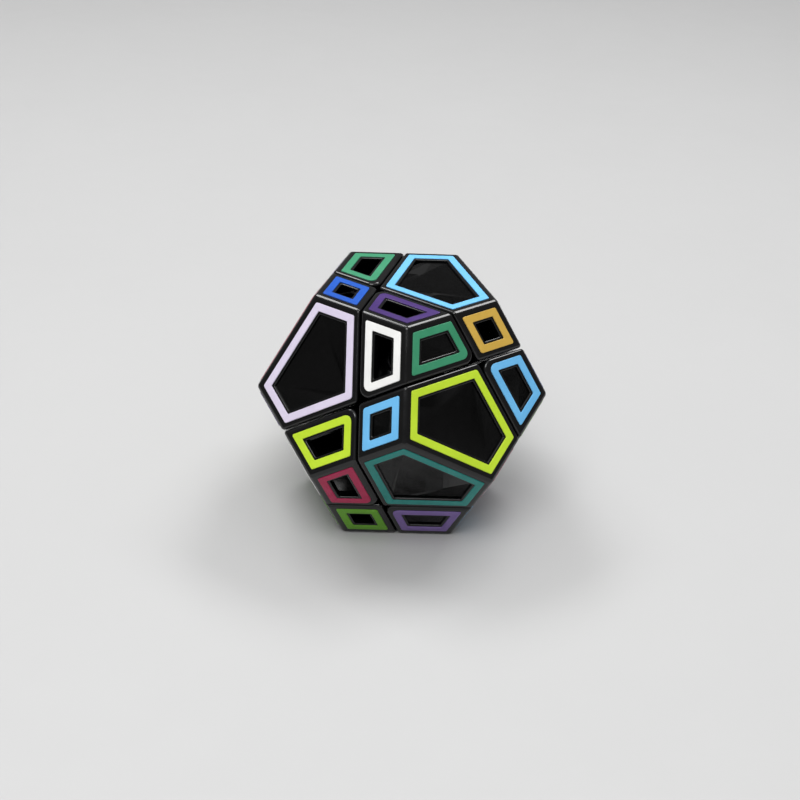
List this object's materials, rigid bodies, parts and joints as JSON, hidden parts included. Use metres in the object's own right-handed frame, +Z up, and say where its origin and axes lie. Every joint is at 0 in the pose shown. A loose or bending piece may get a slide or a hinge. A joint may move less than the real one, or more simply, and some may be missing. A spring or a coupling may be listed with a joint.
{
  "type": "dodecahedron twisty puzzle",
  "caption": "Hollow black dodecahedron twisty puzzle with deep cuts through its centre: framed windows in every face, and a sprung screw core that lets one half turn against the other.",
  "frame": {"origin": "centre of the face that the puzzle stands on, at the surface it stands on", "axes": "+Z up, through the two level faces; -Y towards the front, under the screwed corner at the top front; +X to the right"},
  "size_m": [0.078, 0.082, 0.0672],
  "materials": {
    "shell_plastic": "polished black moulded plastic",
    "foot_plastic": "satin black nylon",
    "core_plastic": "satin black nylon",
    "cap_plastic": "polished black moulded plastic",
    "screw_steel": "bright zinc-plated steel",
    "spring_steel": "drawn spring wire",
    "frame_white": "satin white plastic",
    "frame_lavender": "satin lavender plastic",
    "frame_lime": "satin lime plastic",
    "frame_sky": "satin sky plastic",
    "frame_gold": "satin gold plastic",
    "frame_sea_green": "satin sea green plastic",
    "frame_purple": "satin purple plastic",
    "frame_royal_blue": "satin royal blue plastic",
    "frame_turquoise": "satin turquoise plastic",
    "frame_raspberry": "satin raspberry plastic",
    "frame_violet": "satin violet plastic",
    "frame_grass_green": "satin grass green plastic"
  },
  "bodies": {
    "root": {"core": "core_plastic", "top_front_corner_screw": "screw_steel", "top_front_corner_spring": "spring_steel", "left_corner_screw": "screw_steel", "left_corner_spring": "spring_steel", "back_right_corner_screw": "screw_steel", "back_right_corner_spring": "spring_steel", "bottom_front_corner_screw": "screw_steel", "bottom_front_corner_spring": "spring_steel", "bottom_back_corner_shell": "shell_plastic", "bottom_back_corner_foot": "foot_plastic", "back_edge_shell": "shell_plastic", "back_edge_foot": "foot_plastic", "gold_pentagon_frame": "frame_gold", "purple_pentagon_frame": "frame_purple", "bottom_edge_shell": "shell_plastic", "bottom_edge_foot": "foot_plastic", "grass_green_pentagon_frame": "frame_grass_green", "royal_blue_pentagon_frame": "frame_royal_blue", "right_edge_shell": "shell_plastic", "right_edge_foot": "foot_plastic", "violet_pentagon_frame": "frame_violet", "sea_green_pentagon_frame": "frame_sea_green"},
    "front_half": {"right_corner_shell": "shell_plastic", "right_corner_foot": "foot_plastic", "front_left_corner_shell": "shell_plastic", "front_left_corner_foot": "foot_plastic", "top_back_corner_shell": "shell_plastic", "top_back_corner_foot": "foot_plastic", "front_edge_shell": "shell_plastic", "front_edge_foot": "foot_plastic", "lime_pentagon_frame": "frame_lime", "turquoise_pentagon_frame": "frame_turquoise", "top_edge_shell": "shell_plastic", "top_edge_foot": "foot_plastic", "sky_pentagon_frame": "frame_sky", "white_pentagon_frame": "frame_white", "left_edge_shell": "shell_plastic", "left_edge_foot": "foot_plastic", "lavender_pentagon_frame": "frame_lavender", "raspberry_pentagon_frame": "frame_raspberry"},
    "top_front_corner": {"top_front_corner_shell": "shell_plastic", "top_front_corner_foot": "foot_plastic", "top_front_corner_washer": "screw_steel", "top_front_corner_cap": "cap_plastic"},
    "left_corner": {"left_corner_shell": "shell_plastic", "left_corner_foot": "foot_plastic", "left_corner_washer": "screw_steel", "left_corner_cap": "cap_plastic"},
    "back_right_corner": {"back_right_corner_shell": "shell_plastic", "back_right_corner_foot": "foot_plastic", "back_right_corner_washer": "screw_steel", "back_right_corner_cap": "cap_plastic"},
    "bottom_front_corner": {"bottom_front_corner_shell": "shell_plastic", "bottom_front_corner_foot": "foot_plastic", "bottom_front_corner_washer": "screw_steel", "bottom_front_corner_cap": "cap_plastic"}
  },
  "joints": [
    {"name": "front_half_turn", "type": "hinge", "parent": "root", "child": "front_half", "pos_m": [0, 0, 0.03361], "axis": [0, -0.6071, 0.7947], "continuous": true},
    {"name": "top_front_corner_lift", "type": "slide", "parent": "front_half", "child": "top_front_corner", "axis": [0, -0.6071, 0.7947], "range_m": [0, 0.0008], "stiffness_N_per_m": 1000, "springref_m": -0.002, "deforming": ["top_front_corner_spring"]},
    {"name": "left_corner_lift", "type": "slide", "parent": "root", "child": "left_corner", "axis": [-0.9342, 0.3035, -0.1876], "range_m": [0, 0.0008], "stiffness_N_per_m": 1000, "springref_m": -0.002, "deforming": ["left_corner_spring"]},
    {"name": "back_right_corner_lift", "type": "slide", "parent": "root", "child": "back_right_corner", "axis": [0.5774, 0.7947, 0.1876], "range_m": [0, 0.0008], "stiffness_N_per_m": 1000, "springref_m": -0.002, "deforming": ["back_right_corner_spring"]},
    {"name": "bottom_front_corner_lift", "type": "slide", "parent": "root", "child": "bottom_front_corner", "axis": [0.3568, -0.4911, -0.7947], "range_m": [0, 0.0008], "stiffness_N_per_m": 1000, "springref_m": -0.002, "deforming": ["bottom_front_corner_spring"]}
  ]
}
